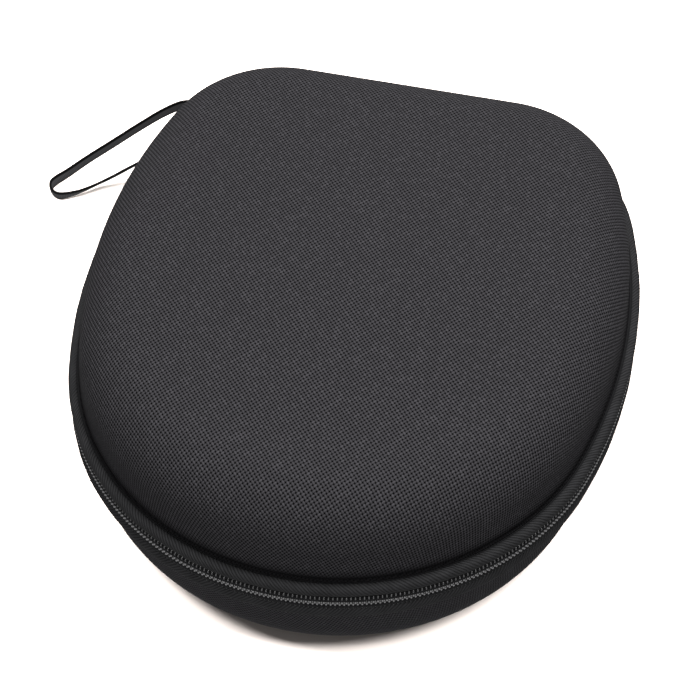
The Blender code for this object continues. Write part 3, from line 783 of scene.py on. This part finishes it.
def shell_layer(name, outer_depth, thickness, side, finish, shaped=False, spacing=2.4 * MM):
    """One layer of a half, as a closed bowl with a pole in the middle of each face."""
    crown = LID_CROWN if side == LID else 0.0
    path, _ = stations(0.0, RIM_LENGTH, spacing, True)
    bm = bmesh.new()
    layer = bm.loops.layers.uv.verify()
    edges = []
    for depth in (outer_depth, outer_depth + thickness):
        profile = wall_profile(depth, crown)
        if shaped and depth == outer_depth:
            profile = lipped(profile)
        places, cloth, middle = shell_face(path, profile, side, depth)
        verts = grid(bm, places, cloth, True)
        pole = bm.verts.new(middle)
        for r in range(len(verts)):
            face = bm.faces.new((verts[r][-1], verts[(r + 1) % len(verts)][-1], pole))
            for loop, place in zip(face.loops, (cloth[r, -1], cloth[r + 1, -1], (0.0, 0.0))):
                loop[layer].uv = place
        edges.append([row[0] for row in verts])
    for index in range(len(edges[0])):
        following = (index + 1) % len(edges[0])
        bm.faces.new((edges[0][index], edges[0][following], edges[1][following], edges[1][index]))
    return finished(name, bm, finish, 50)


def shells():
    """Cover cloth, foam and lining of each half."""
    for label, side in SIDES:
        cloth = shell_layer(f"{label}_nylon_cover", 0.0, FABRIC, side, "nylon", True, 1.8 * MM)
        settled(cloth, label, "woven_nylon", f"{label}_outer_fabric")
        core_depth = FABRIC + GAP
        core = shell_layer(f"{label}_foam_shell", core_depth, CORE, side, "foam")
        settled(core, label, "eva_foam", f"{label}_eva_core")
        lining = shell_layer(f"{label}_tricot", core_depth + CORE + GAP, LINING, side, "lining")
        settled(lining, label, "tricot_lining", f"{label}_lining")


# ---- repeats along a path

def repeat_tree():
    """Geometry Nodes that set one piece at even steps along a line, its X along the line, Z up."""
    tree = bpy.data.node_groups.new("repeat_along_path", "GeometryNodeTree")
    sockets = (("Geometry", "Geometry"), ("Piece", "Object"), ("Spacing", "Float"), ("Finish", "Material"))
    for label, kind in sockets:
        tree.interface.new_socket(label, in_out="INPUT", socket_type=f"NodeSocket{kind}")
    tree.interface.new_socket("Geometry", in_out="OUTPUT", socket_type="NodeSocketGeometry")
    given, line, even, tangent, turn, piece, place, solid, paint, made = [tree.nodes.new(kind) for kind in (
        "NodeGroupInput", "GeometryNodeMeshToCurve", "GeometryNodeResampleCurve", "GeometryNodeInputTangent",
        "FunctionNodeAlignRotationToVector", "GeometryNodeObjectInfo", "GeometryNodeInstanceOnPoints",
        "GeometryNodeRealizeInstances", "GeometryNodeSetMaterial", "NodeGroupOutput")]
    even.mode = "LENGTH"
    turn.axis, turn.pivot_axis = "X", "Z"
    for source, output, target, label in (
        (given, "Geometry", line, 0),
        (line, 0, even, "Curve"),
        (given, "Spacing", even, "Length"),
        (tangent, 0, turn, "Vector"),
        (given, "Piece", piece, "Object"),
        (even, 0, place, "Points"),
        (piece, "Geometry", place, "Instance"),
        (turn, 0, place, "Rotation"),
        (place, 0, solid, 0),
        (solid, 0, paint, "Geometry"),
        (given, "Finish", paint, "Material"),
        (paint, 0, made, 0),
    ):
        tree.links.new(source.outputs[output], target.inputs[label])
    return tree


REPEAT = repeat_tree()


def repeated(name, piece, points, spacing, finish):
    """Copies of a piece along a line of points, as one plain mesh. The piece itself is removed."""
    mesh = bpy.data.meshes.new(name)
    mesh.from_pydata([tuple(point) for point in points], [(i, i + 1) for i in range(len(points) - 1)], [])
    line = object_from(f"{name}_line", mesh)
    modifier = line.modifiers.new("repeat", "NODES")
    modifier.node_group = REPEAT
    named = {item.name: item.identifier for item in REPEAT.interface.items_tree if item.in_out == "INPUT"}
    modifier[named["Piece"]] = piece
    modifier[named["Spacing"]] = spacing
    modifier[named["Finish"]] = FINISH[finish]
    bpy.context.view_layer.update()
    obj = object_from(name, evaluated_mesh(line))
    bpy.data.objects.remove(line, do_unlink=True)
    bpy.data.objects.remove(piece, do_unlink=True)
    obj.data.shade_smooth()
    return obj


def tube(name, points, radius, sides=6, finish="thread"):
    """A bent wire of a few sides through points, capped at both ends, of one radius or one a point."""
    points = [Vector(point) for point in points]
    radii = radius if isinstance(radius, (list, tuple)) else [radius] * len(points)
    rows = []
    for index, point in enumerate(points):
        ahead = (points[min(index + 1, len(points) - 1)] - points[max(index - 1, 0)]).normalized()
        first = ahead.orthogonal() if index == 0 else (first - ahead * first.dot(ahead))
        first = first.normalized()
        second = ahead.cross(first)
        angles = [2 * math.pi * side / sides for side in range(sides)]
        spokes = [first * math.cos(angle) + second * math.sin(angle) for angle in angles]
        rows.append([point + spoke * radii[index] for spoke in spokes])
    return strip(name, np.array(rows), None, finish, 80)


def rim_line(start, end, outward, height, side, spacing=1.0 * MM):
    """Points along the rim at one distance from the wall and one height."""
    path, _ = stations(start, end, spacing)
    return [(x + nx * outward, y + ny * outward, RIM + side * height) for x, y, nx, ny in path]


def stitch_row(name, body, outward, height, side):
    """Lockstitches right round the rim, on a face that looks inwards."""
    length, gap, size = 2.6 * MM, 0.9 * MM, 0.24 * MM
    half, lift = length / 2, size * 1.3
    shape = ((-1.0, 1.0), (-0.85, 0.1), (0.0, -0.35), (0.85, 0.1), (1.0, 1.0))
    piece = tube("stitch", [(x * half, y * lift, 0.0) for x, y in shape], size, 5)
    line = rim_line(half, RIM_LENGTH - half, outward, height, side)
    settled(repeated(name, piece, line, length + gap, "thread"), body, "binding_tape")


# ---- zip

def coil_turn(side):
    """One turn of the coil: outer bend, front strand, head past the middle, and the strand behind."""
    wire, head = COIL_WIRE, COIL_HEAD
    shape = (
        (-0.12, 1.75, 2.78, wire),
        (-0.05, 2.50, 2.92, wire),
        (0.00, 3.12, 2.78, wire),
        (0.00, 3.18, 2.30, wire),
        (0.00, 3.02, 1.50, wire),
        (0.00, 3.20, 0.90, wire * 1.05),
        (0.00, 3.36, 0.40, head),
        (0.00, 3.22, -0.15, head),
        (0.00, 2.62, -0.45, head),
        (0.06, 1.95, -0.25, wire),
        (0.28, 1.60, 0.60, wire),
        (0.70, 1.60, 2.20, wire),
        (0.88, 1.75, 2.78, wire),
    )
    points = [(x * COIL_PITCH, out * MM, up * side * MM) for x, out, up, _ in shape]
    return tube("turn", points, [radius for *_, radius in shape], 7)


def zip_parts():
    """Tapes, coil turns with their seams and cord, and the stops at the ends."""
    trimmed = STOP_LENGTH + 2 * GAP
    tape_section = box_section(GAP, TAPE_FACE, TAPE_SPLIT, WELT_TOP)
    cord_section = curved(box_section(1.95 * MM, 2.95 * MM, 1.15 * MM, 2.15 * MM), 2)
    wave = [(x * COIL_PITCH, out * MM, 0.0) for x, out in SEAM_WAVE]
    stop_section = curved(box_section(TRIM_FACE, STOP_REACH, TAPE_SPLIT, COIL_HALF_WIDTH), 3)
    for label, side in SIDES:
        tape = swept(f"{label}_woven_tape", tape_section, side, "tape",
                     ZIP_START + GAP, ZIP_END - GAP)
        settled(tape, label, "zip_tape", f"{label}_zip_tape")
        shift = 0.0 if side == LID else COIL_PITCH / 2
        start, end = ZIP_START + trimmed + COIL_PITCH / 2, ZIP_END - trimmed - COIL_PITCH * 1.5
        line = rim_line(start + shift, end + shift, 0.0, 0.0, side, 0.7 * MM)
        coil = repeated(f"{label}_coil_turns", coil_turn(side), line, COIL_PITCH, f"{label}_coil")
        settled(coil, label, "nylon_coil", f"{label}_zip_coil")
        for height in COIL_SEAMS:
            line = rim_line(start + shift, end + shift, 0.0, height, side, 0.7 * MM)
            name = f"{label}_coil_seam_{round(height / MM * 10)}"
            seam = repeated(name, tube("wave", wave, 0.20 * MM), line, COIL_PITCH, "thread")
            settled(seam, label, "zip_tape")
        cord = swept(f"{label}_coil_cord", cord_section, side, "thread",
                     ZIP_START + trimmed, ZIP_END - trimmed)
        settled(cord, label, "zip_tape")
        for hand, start in (("left", ZIP_END - GAP - STOP_LENGTH), ("right", ZIP_START + GAP)):
            stop = swept(f"{label}_stop_{hand}", stop_section, side, "metal",
                         start, start + STOP_LENGTH, 0.8 * MM)
            settled(bevelled(stop, 0.2 * MM), label, "black_metal", f"{label}_zip_stop_{hand}")


def welts():
    """Piping over the stitching line: a soft roll with a flat back."""
    foot, top, back, reach = WELT_FOOT, WELT_CROWN, TAPE_FACE + 0.02 * MM, WELT_REACH
    middle, half = (foot + top) / 2, (top - foot) / 2
    section = [(back, foot + 0.2 * MM)]
    for angle in np.linspace(-0.5, 0.5, 17) * math.pi:
        out = TRIM_FACE + (reach - TRIM_FACE) * max(0.0, math.cos(angle))**0.62
        section.append((out, middle + half * math.sin(angle)))
    section.append((back, top - 0.2 * MM))
    for label, side in SIDES:
        welt = swept(f"{label}_piped_welt", section, side, "welt", smooth=70, wobble=0.05 * MM)
        settled(welt, label, "twill_welt", f"{label}_rim_welt")


def bindings():
    """Grosgrain over the raw edges inside, with its stitching."""
    back = -SHELL_DEPTH - GAP - BINDING_WIDTH * math.tan(WALL_DRAFT)
    face = back - BINDING_THICKNESS
    section = curved(box_section(face, back, SHELL_EDGE, SHELL_EDGE + BINDING_WIDTH))
    for label, side in SIDES:
        band = swept(f"{label}_grosgrain", section, side, "binding")
        settled(band, label, "binding_tape", f"{label}_rim_binding")
        for order, height in enumerate((SHELL_EDGE + 1.3 * MM, SHELL_EDGE + 6.7 * MM)):
            stitch_row(f"{label}_binding_stitches_{order}", label, face, height, side)


def hinge():
    """One strip of cloth from welt to welt, rolled out to the hinge line."""
    thick = HINGE_THICKNESS
    under, foot, line = TAPE_FACE - 0.3 * MM, TAPE_FACE - 0.1 * MM, WELT_REACH - thick / 2
    centre = [(under, -WELT_TOP), (under, -WELT_FOOT - 0.4 * MM)]
    for share in np.linspace(-1, 1, 17):
        bulge = math.cos(share * math.pi / 2)**0.8
        centre.append((foot + (line - foot) * bulge, share * (WELT_FOOT - 0.3 * MM)))
    centre += [(under, WELT_FOOT + 0.4 * MM), (under, WELT_TOP)]
    centre = np.array(centre)
    heading = np.gradient(centre, axis=0)
    normal = np.stack([heading[:, 1], -heading[:, 0]], axis=1)
    normal /= np.linalg.norm(normal, axis=1)[:, None]
    taper = np.full(len(centre), thick / 2)
    taper[:2] = taper[-2:] = 0.25 * MM
    ring = np.concatenate([centre + normal * taper[:, None], (centre - normal * taper[:, None])[::-1]])
    width = np.linspace(-HINGE_HALF_WIDTH + GAP, HINGE_HALF_WIDTH - GAP, 40)
    places = np.array([[(x, BACK_WALL + out, RIM + up) for out, up in ring] for x in width])
    run = travelled(ring)
    cloth = strip("hinge_cloth", places, uv_map(width, np.append(run, run[-1] + thick)), "hinge", 60)
    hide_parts("base_hinge_strip", "lid_hinge_strip")
    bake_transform(cloth)


# ---- net pocket

POCKET_LOW, POCKET_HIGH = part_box("lid_pocket_net")
ELASTIC_LOW, ELASTIC_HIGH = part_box("lid_pocket_elastic")


def pocket_edge():
    """Points along the lid's wall at the net, from its right end to its left, as plan coordinates."""
    path, distances = stations(0.0, RIM_LENGTH, 2.0 * MM, True)
    draft = (POCKET_HIGH.z - RIM - SHELL_EDGE) * math.tan(WALL_DRAFT)
    inset = (SHELL_DEPTH + GAP) / math.cos(WALL_DRAFT) + draft
    plan = path[:, :2] - path[:, 2:] * inset
    plan = plan[np.argsort((distances + RIM_LENGTH / 2) % RIM_LENGTH)]
    return plan[plan[:, 1] > POCKET_LOW.y]


def encloses(polygon, x, y):
    """True where the point lies inside the closed polygon, by counting crossings."""
    count = 0
    for a, b in zip(polygon, [*polygon[1:], polygon[0]]):
        if (a.y > y) != (b.y > y) and x < (b.x - a.x) * (y - a.y) / (b.y - a.y) + a.x:
            count += 1
    return count % 2 == 1


def pocket_net(edge, height):
    """Open hexagons of knitted cord, as far as the pocket's edge."""
    step_x, step_y = NET_CELL * 1.5, NET_CELL * math.sqrt(3)
    polygon = [Vector(point) for point in edge]
    columns = int(POCKET_HIGH.x / step_x) + 1
    rows = int((POCKET_HIGH.y - POCKET_LOW.y) / step_y) + 2
    spokes = [(NET_CELL * math.cos(k * math.pi / 3), NET_CELL * math.sin(k * math.pi / 3)) for k in range(6)]
    bm = bmesh.new()
    for column in range(-columns, columns + 1):
        for row in range(rows):
            x = column * step_x
            y = POCKET_LOW.y + row * step_y + (step_y / 2 if column % 2 else 0.0)
            corners = [(x + across, y + along) for across, along in spokes]
            if all(encloses(polygon, *corner) for corner in corners):
                bm.faces.new([bm.verts.new((*corner, height)) for corner in corners])
    bmesh.ops.remove_doubles(bm, verts=bm.verts, dist=NET_CELL * 0.05)
    net = finished("hexagon_net", bm, "net", tidy=False)
    wires = net.modifiers.new("cords", "WIREFRAME")
    wires.thickness = NET_CORD
    wires.use_even_offset = True
    apply_modifiers(net)
    settled(net, "lid", "pocket_net", "lid_pocket_net")


def pocket_hem(edge, height):
    """Tape that sews the net to the lining, lying inwards from the pocket's edge."""
    fold = [(0.0, -0.5 * MM), (0.0, 0.5 * MM), (NET_HEM, 0.4 * MM), (NET_HEM, -0.4 * MM)]
    inward = []
    for before, after in zip(np.roll(edge, 1, 0), np.roll(edge, -1, 0)):
        direction = after - before
        inward.append(np.array([direction[1], -direction[0]]) / np.linalg.norm(direction))
    inward = np.array(inward)
    inward[0], inward[-1] = inward[1], inward[-2]
    if np.dot(inward[len(edge) // 2], edge.mean(axis=0) - edge[len(edge) // 2]) < 0:
        inward = -inward
    places = np.array([[(*(place + toward * out), height + up) for out, up in fold]
                       for place, toward in zip(edge, inward)])
    uvs = uv_map(travelled(edge), np.array([0, 1, 5.2, 6.2, 10.4]) * MM)
    settled(strip("net_hem", places, uvs, "binding"), "lid", "pocket_net")


def pocket_elastic():
    """Ribbed elastic along the pocket's mouth, slightly puckered."""
    low, high = ELASTIC_LOW, ELASTIC_HIGH
    across = np.linspace(low.x, high.x, 120)
    section = np.array(curved([(low.y, low.z), (high.y, low.z), (high.y, high.z), (low.y, high.z)], 4))
    centre = np.array([(low.y + high.y) / 2, (low.z + high.z) / 2])
    pucker = 1 + 0.05 * np.sin(across * 2 * math.pi / (6.5 * MM))
    places = np.array([[(x, *(centre + (point - centre) * scale * 0.97)) for point in section]
                       for x, scale in zip(across, pucker)])
    uvs = uv_map(across, np.linspace(0, 14.4 * MM, len(section) + 1))
    band = strip("elastic_band", places, uvs, "elastic")
    settled(band, "lid", "pocket_elastic", "lid_pocket_elastic")


def net_pocket():
    """An open net over part of the lid, its sewn hem, and the elastic along its mouth."""
    height = (POCKET_LOW.z + POCKET_HIGH.z) / 2
    edge = pocket_edge()
    pocket_net(edge, height)
    pocket_hem(edge, height)
    pocket_elastic()


# ---- sliders and pulls

def arc_places(joint, radius, angle, direction):
    """A function that places (along, outward, height) points on an arc of the rim."""
    centre = Vector(joint["pos_m"])

    def at(along, outward, height):
        turned = angle + direction * along / radius
        reach = radius + outward
        across, deep = reach * math.cos(turned), reach * math.sin(turned)
        return Vector((centre.x + across, centre.y + deep, RIM + height))

    return at


def arc_plate(name, frame_at, outline, low, high):
    """A plate with an (along, height) outline between two distances from the wall."""
    bm = bmesh.new()
    rings = []
    for reach in (low, high):
        rings.append([bm.verts.new(frame_at(along, reach, height)) for along, height in outline])
    for index in range(len(outline)):
        following = (index + 1) % len(outline)
        bm.faces.new((rings[0][index], rings[0][following], rings[1][following], rings[1][index]))
    bm.faces.new(rings[0])
    bm.faces.new(rings[1])
    return finished(name, bm, "metal")


def slider_outline():
    """A shield: broad at the nose, drawn in towards the tail, with round corners."""
    half, wide, nose = SLIDER_HALF, SLIDER_HALF_HEIGHT, SLIDER_NOSE
    points = [(-half, -wide * nose), (-half, wide * nose), (-half * 0.45, wide), (half * 0.35, wide * 0.96),
              (half, wide * 0.66), (half, -wide * 0.66), (half * 0.35, -wide * 0.96), (-half * 0.45, -wide)]
    return curved(points)


def sliders():
    """Two plates, the post between them and the bridge that holds the pull, on each slider."""
    meeting = math.pi - CORNER_END
    places = (("front", SIDE_RADIUS, 1), ("back", CORNER_RADIUS, -1))
    outline = slider_outline()
    under, outer, plate = -0.4 * MM, WELT_REACH + 0.4 * MM, SLIDER_PLATE
    post_outline = curved([(-4.5 * MM, -0.3 * MM), (-4.5 * MM, 0.3 * MM),
                           (-1.9 * MM, 0.3 * MM), (-1.9 * MM, -0.3 * MM)], 3)
    reach, foot, crown = 3.0 * MM, outer + plate * 0.6, outer + plate + 2.25 * MM
    arch = [(-reach, foot), (-reach, foot + 1.2 * MM), (-reach * 0.86, crown - 0.45 * MM),
            (-reach * 0.5, crown), (0.0, crown + 0.1 * MM), (reach * 0.5, crown),
            (reach * 0.86, crown - 0.45 * MM), (reach, foot + 1.2 * MM), (reach, foot)]
    for label, radius, direction in places:
        angle = meeting + direction * SLIDER_SPACING / radius
        at = arc_places(JOINTS[f"{label}_zip_travel"], radius, angle, direction)
        body = f"{label}_slider"
        top = arc_plate(f"{body}_top", at, outline, outer, outer + plate)
        settled(bevelled(top, 0.3 * MM, 3), body, "black_metal", f"{body}_body")
        lower = arc_plate(f"{body}_under", at, outline, under - plate, under)
        settled(bevelled(lower, 0.3 * MM, 3), body, "black_metal")
        post = arc_plate(f"{body}_post", at, post_outline, -0.6 * MM, outer + 0.2 * MM)
        settled(post, body, "black_metal")
        bridge = tube(f"{body}_bridge", [at(along, out, 0.0) for along, out in arch], 0.48 * MM, 12, "metal")
        settled(bridge, body, "black_metal")


def node_copy(name):
    """A node's own mesh, its double points joined."""
    bm = bmesh.new()
    bm.from_mesh(frame["nodes"][name].data)
    bmesh.ops.remove_doubles(bm, verts=bm.verts, dist=2e-6)
    return bm


def pulls():
    """Round edges and finishes for the stamped tabs and the moulded grips."""
    pieces = (("tab", "metal", "black_metal", 0.22 * MM), ("grip", "rubber", "grip_rubber", 0.35 * MM))
    for label in ("front", "back"):
        for piece, finish, slot, width in pieces:
            bm = node_copy(f"{label}_pull_{piece}")
            bmesh.ops.dissolve_limit(bm, angle_limit=math.radians(2), verts=bm.verts, edges=bm.edges)
            made = finished(f"{label}_{piece}_finished", bm, finish, tidy=False)
            settled(bevelled(made, width), f"{label}_pull", slot, f"{label}_pull_{piece}")


def strap_anchor():
    """Folded ribbon end under the base welt, with soft edges."""
    made = finished("strap_fold", node_copy("strap_tab"), "ribbon", tidy=False)
    settled(bevelled(made, 0.5 * MM, 3), "base", "strap_ribbon", "strap_tab")


camera()
studio()
wrist_strap()
shells()
welts()
zip_parts()
bindings()
hinge()
net_pocket()
sliders()
pulls()
strap_anchor()
